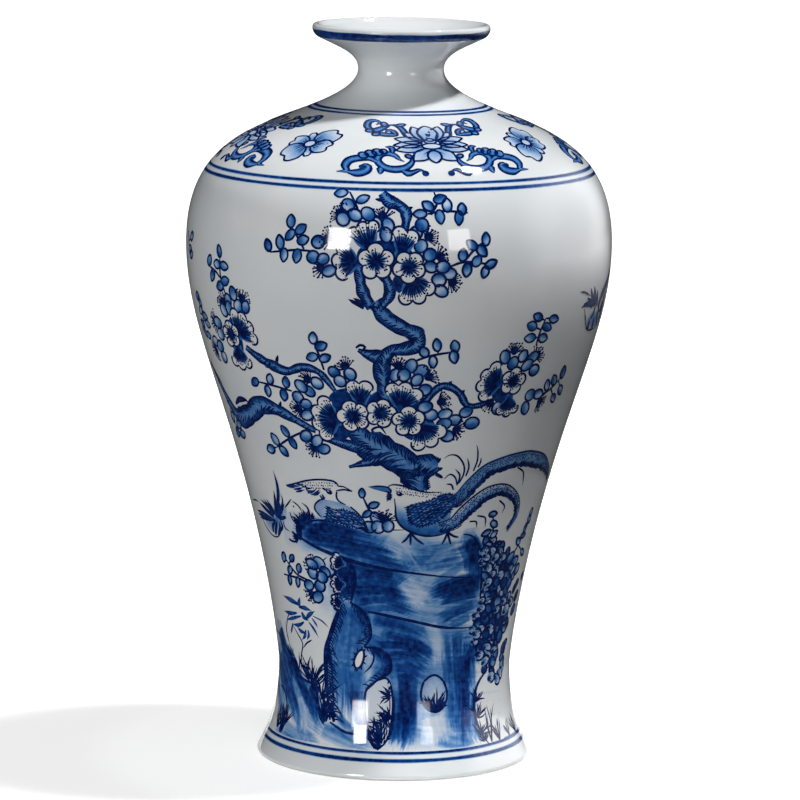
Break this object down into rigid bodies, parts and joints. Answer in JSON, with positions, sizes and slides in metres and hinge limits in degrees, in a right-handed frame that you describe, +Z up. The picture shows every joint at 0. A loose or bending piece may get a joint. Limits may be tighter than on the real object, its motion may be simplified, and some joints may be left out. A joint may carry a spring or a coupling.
{
  "type": "meiping vase",
  "caption": "Tall round porcelain vase with a high full shoulder, slender waist, flared ring foot and small everted mouth, painted in cobalt blue.",
  "frame": {"origin": "centre of the foot's contact plane, on the vase's axis", "axes": "+Z up along the vase's axis, from the foot to the mouth; the painted front faces -Y"},
  "size_m": [0.2074, 0.2074, 0.36],
  "materials": {
    "white_glazed_porcelain": "clear glossy glaze over white porcelain",
    "cobalt_underglaze": "cobalt painted under the clear glaze",
    "porcelain_slip": "fired slip in the joints, glazed over outside"
  },
  "bodies": {
    "root": {"foot_ring": "white_glazed_porcelain", "base_floor": "white_glazed_porcelain", "lower_body": "white_glazed_porcelain", "body_seam": "porcelain_slip", "upper_body": "white_glazed_porcelain", "neck_seam": "porcelain_slip", "neck": "white_glazed_porcelain", "mouth_band": "cobalt_underglaze", "neck_line_upper": "cobalt_underglaze", "neck_line_lower": "cobalt_underglaze", "shoulder_line_upper": "cobalt_underglaze", "shoulder_line_lower": "cobalt_underglaze", "foot_line_upper": "cobalt_underglaze", "foot_line_lower": "cobalt_underglaze"}
  },
  "joints": []
}
